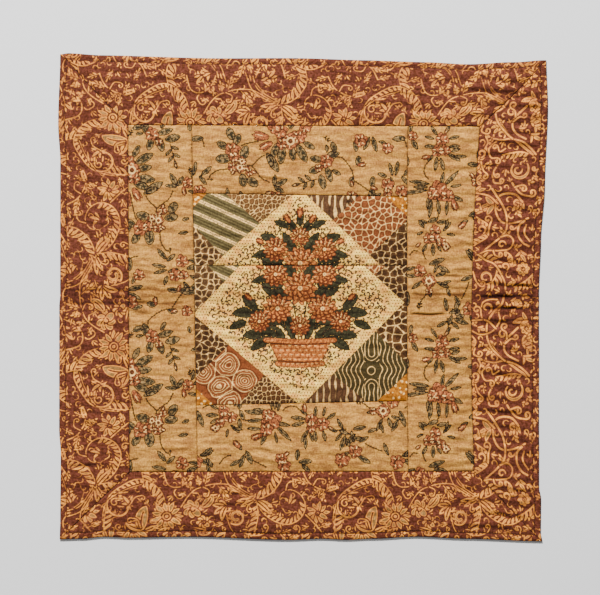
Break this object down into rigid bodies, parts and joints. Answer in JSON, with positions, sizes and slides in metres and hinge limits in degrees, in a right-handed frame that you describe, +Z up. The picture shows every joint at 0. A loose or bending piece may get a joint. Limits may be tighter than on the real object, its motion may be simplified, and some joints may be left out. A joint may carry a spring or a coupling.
{
  "type": "crib quilt",
  "caption": "Pieced crib quilt lying flat: mitred scroll-print border, floral inner border and a printed diamond centre, filled, crowned between its seams, with creases.",
  "frame": {"origin": "on the surface that the quilt lies on, below the middle of its outline", "axes": "+Z up through the quilt's thickness, +Y towards the quilt's top edge, +X to its right seen from above"},
  "size_m": [0.9164, 0.9134, 0.0073],
  "materials": {
    "scroll_print": "plain-woven cotton printed with golden tan scrolling leaves and flowers on a brown-red ground, matt, soft with washing",
    "floral_print": "plain-woven cotton printed with grey-green and brick-pink floral sprays on a tan ground, matt",
    "centre_print": "plain-woven cotton printed in imitation of patchwork around a cream diamond, matt"
  },
  "bodies": {
    "root": {"outer_border_bottom": "scroll_print", "outer_border_top": "scroll_print", "outer_border_left": "scroll_print", "outer_border_right": "scroll_print", "inner_border_left": "floral_print", "inner_border_right": "floral_print", "inner_border_bottom": "floral_print", "inner_border_top": "floral_print", "centre_panel_lower": "centre_print", "centre_panel_upper": "centre_print"}
  },
  "joints": []
}
